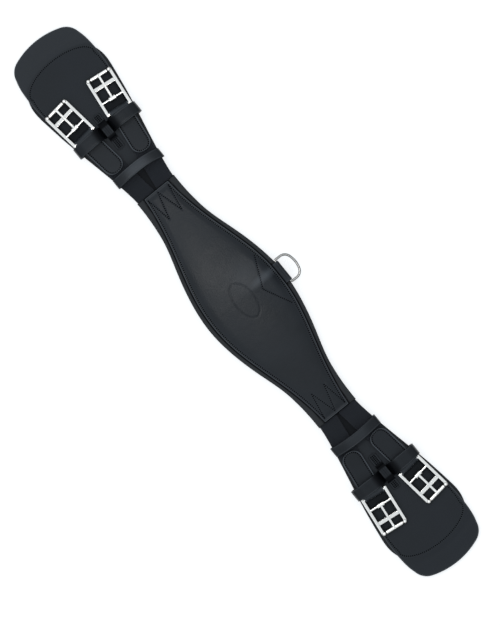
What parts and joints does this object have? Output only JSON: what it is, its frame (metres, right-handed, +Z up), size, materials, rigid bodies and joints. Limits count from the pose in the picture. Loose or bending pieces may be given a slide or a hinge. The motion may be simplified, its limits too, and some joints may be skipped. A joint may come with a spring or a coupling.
{
  "type": "saddle girth",
  "caption": "Short shaped leather girth with elastic buckle straps at both ends, leather keepers over the straps and a dee ring on the front edge.",
  "frame": {"origin": "centre of the girth on the underside of the lining, which it rests on", "axes": "+X towards the near-side end, +Y towards the front edge with the dee ring, +Z up through the outer leather"},
  "size_m": [0.805, 0.1343, 0.0224],
  "materials": {
    "smooth_leather": "smooth black, half gloss",
    "flap_leather": "smooth black, matte",
    "matte_leather": "black, matte grain",
    "lining_leather": "soft black lining leather",
    "elastic": "black woven elastic",
    "webbing": "black nylon web",
    "foam": "closed-cell foam",
    "nickel": "polished nickel plate"
  },
  "bodies": {
    "pad": {"lining": "lining_leather", "foam_core": "foam", "centre_padding": "foam", "reinforcing_web": "webbing", "centre_backing": "matte_leather", "centre_panel": "smooth_leather", "near_flap_leather": "flap_leather", "near_wide_keeper": "smooth_leather", "near_centre_tab": "smooth_leather", "near_narrow_keeper": "smooth_leather", "near_front_elastic": "elastic", "near_rear_elastic": "elastic", "off_flap_leather": "flap_leather", "off_wide_keeper": "smooth_leather", "off_centre_tab": "smooth_leather", "off_narrow_keeper": "smooth_leather", "off_front_elastic": "elastic", "off_rear_elastic": "elastic", "dee_chape": "smooth_leather"},
    "dee_ring": {"dee_ring": "nickel"},
    "near_front_strap": {"near_front_chape": "smooth_leather", "near_front_buckle_frame": "nickel"},
    "near_front_roller": {"near_front_roller": "nickel"},
    "near_front_prong": {"near_front_prong": "nickel"},
    "near_rear_strap": {"near_rear_chape": "smooth_leather", "near_rear_buckle_frame": "nickel"},
    "near_rear_roller": {"near_rear_roller": "nickel"},
    "near_rear_prong": {"near_rear_prong": "nickel"},
    "off_front_strap": {"off_front_chape": "smooth_leather", "off_front_buckle_frame": "nickel"},
    "off_front_roller": {"off_front_roller": "nickel"},
    "off_front_prong": {"off_front_prong": "nickel"},
    "off_rear_strap": {"off_rear_chape": "smooth_leather", "off_rear_buckle_frame": "nickel"},
    "off_rear_roller": {"off_rear_roller": "nickel"},
    "off_rear_prong": {"off_rear_prong": "nickel"}
  },
  "joints": [
    {"name": "dee_ring_swing", "type": "hinge", "parent": "pad", "child": "dee_ring", "pos_m": [-0.0008, 0.057, 0.014], "axis": [1, 0, 0], "range_deg": [-30, 145]},
    {"name": "near_front_elastic_stretch", "type": "slide", "parent": "pad", "child": "near_front_strap", "axis": [0.9922, 0.1245, 0], "range_m": [0, 0.02], "deforming": ["near_front_elastic"]},
    {"name": "near_front_roller_spin", "type": "hinge", "parent": "near_front_strap", "child": "near_front_roller", "pos_m": [0.32213, 0.03298, 0.0113], "axis": [-0.1245, 0.9922, 0], "continuous": true},
    {"name": "near_front_prong_swing", "type": "hinge", "parent": "near_front_strap", "child": "near_front_prong", "pos_m": [0.29047, 0.02901, 0.0113], "axis": [0.1245, -0.9922, 0], "range_deg": [0, 130]},
    {"name": "near_rear_elastic_stretch", "type": "slide", "parent": "pad", "child": "near_rear_strap", "axis": [0.9922, -0.1245, 0], "range_m": [0, 0.02], "deforming": ["near_rear_elastic"]},
    {"name": "near_rear_roller_spin", "type": "hinge", "parent": "near_rear_strap", "child": "near_rear_roller", "pos_m": [0.32213, -0.03298, 0.0113], "axis": [0.1245, 0.9922, 0], "continuous": true},
    {"name": "near_rear_prong_swing", "type": "hinge", "parent": "near_rear_strap", "child": "near_rear_prong", "pos_m": [0.29047, -0.02901, 0.0113], "axis": [-0.1245, -0.9922, 0], "range_deg": [0, 130]},
    {"name": "off_front_elastic_stretch", "type": "slide", "parent": "pad", "child": "off_front_strap", "axis": [-0.9922, 0.1245, 0], "range_m": [0, 0.02], "deforming": ["off_front_elastic"]},
    {"name": "off_front_roller_spin", "type": "hinge", "parent": "off_front_strap", "child": "off_front_roller", "pos_m": [-0.32213, 0.03298, 0.0113], "axis": [-0.1245, -0.9922, 0], "continuous": true},
    {"name": "off_front_prong_swing", "type": "hinge", "parent": "off_front_strap", "child": "off_front_prong", "pos_m": [-0.29047, 0.02901, 0.0113], "axis": [0.1245, 0.9922, 0], "range_deg": [0, 130]},
    {"name": "off_rear_elastic_stretch", "type": "slide", "parent": "pad", "child": "off_rear_strap", "axis": [-0.9922, -0.1245, 0], "range_m": [0, 0.02], "deforming": ["off_rear_elastic"]},
    {"name": "off_rear_roller_spin", "type": "hinge", "parent": "off_rear_strap", "child": "off_rear_roller", "pos_m": [-0.32213, -0.03298, 0.0113], "axis": [0.1245, -0.9922, 0], "continuous": true},
    {"name": "off_rear_prong_swing", "type": "hinge", "parent": "off_rear_strap", "child": "off_rear_prong", "pos_m": [-0.29047, -0.02901, 0.0113], "axis": [-0.1245, 0.9922, 0], "range_deg": [0, 130]}
  ]
}
